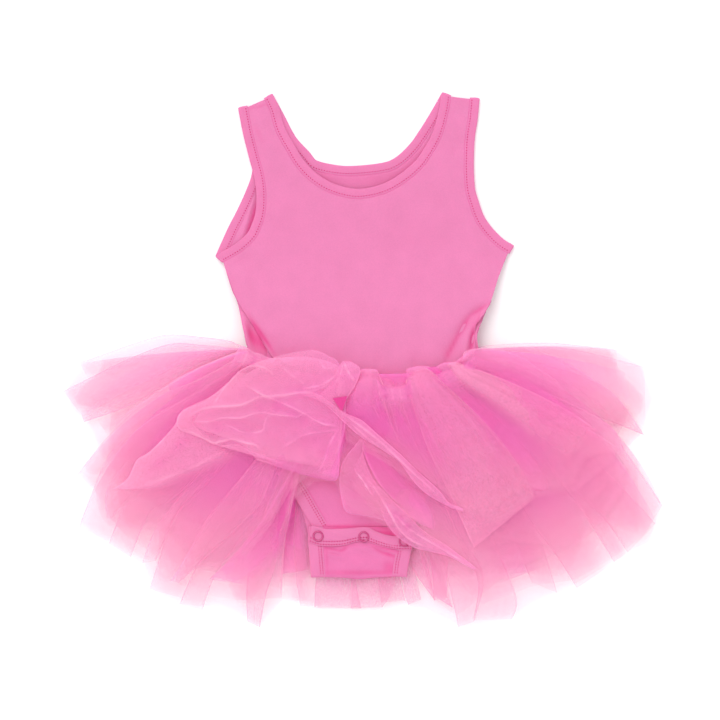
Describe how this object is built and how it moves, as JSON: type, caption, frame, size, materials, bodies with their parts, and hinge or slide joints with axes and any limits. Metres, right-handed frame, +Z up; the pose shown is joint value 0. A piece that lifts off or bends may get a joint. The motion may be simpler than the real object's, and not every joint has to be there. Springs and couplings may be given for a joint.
{
  "type": "ballet tutu",
  "caption": "Toddler's ballet tutu laid flat: sleeveless jersey bodysuit with bound neck and armholes, gathered tiers of soft tulle and a brief with a snap crotch.",
  "frame": {"origin": "middle of the garment's box, on the surface it lies on", "axes": "+Z up from the surface, +Y from the crotch towards the shoulders, +X to the right across the garment as it is seen from above"},
  "size_m": [0.52, 0.466, 0.0434],
  "materials": {
    "jersey": "fine cotton stretch jersey, matt, candy pink",
    "binding": "the same jersey folded into bindings, twin needle stitched, matt",
    "tulle": "soft fine nylon tulle, sheer, candy pink where it lies deep and pale where it is one ply",
    "snap_ring": "pink enamelled prong ring, satin"
  },
  "bodies": {
    "root": {"bodice_front": "jersey", "bodice_back": "jersey", "brief_front": "jersey", "brief_back": "jersey", "neck_binding": "binding", "armhole_binding_left": "binding", "armhole_binding_right": "binding", "leg_binding_left": "binding", "leg_binding_right": "binding", "snap_tape": "binding", "snap_left": "snap_ring", "snap_middle": "snap_ring", "snap_right": "snap_ring", "tulle_short_back": "tulle", "tulle_middle_back": "tulle", "tulle_long_back": "tulle", "tulle_long_front": "tulle", "tulle_middle_front": "tulle", "tulle_short_front": "tulle", "tulle_lifted_front": "tulle"}
  },
  "joints": []
}
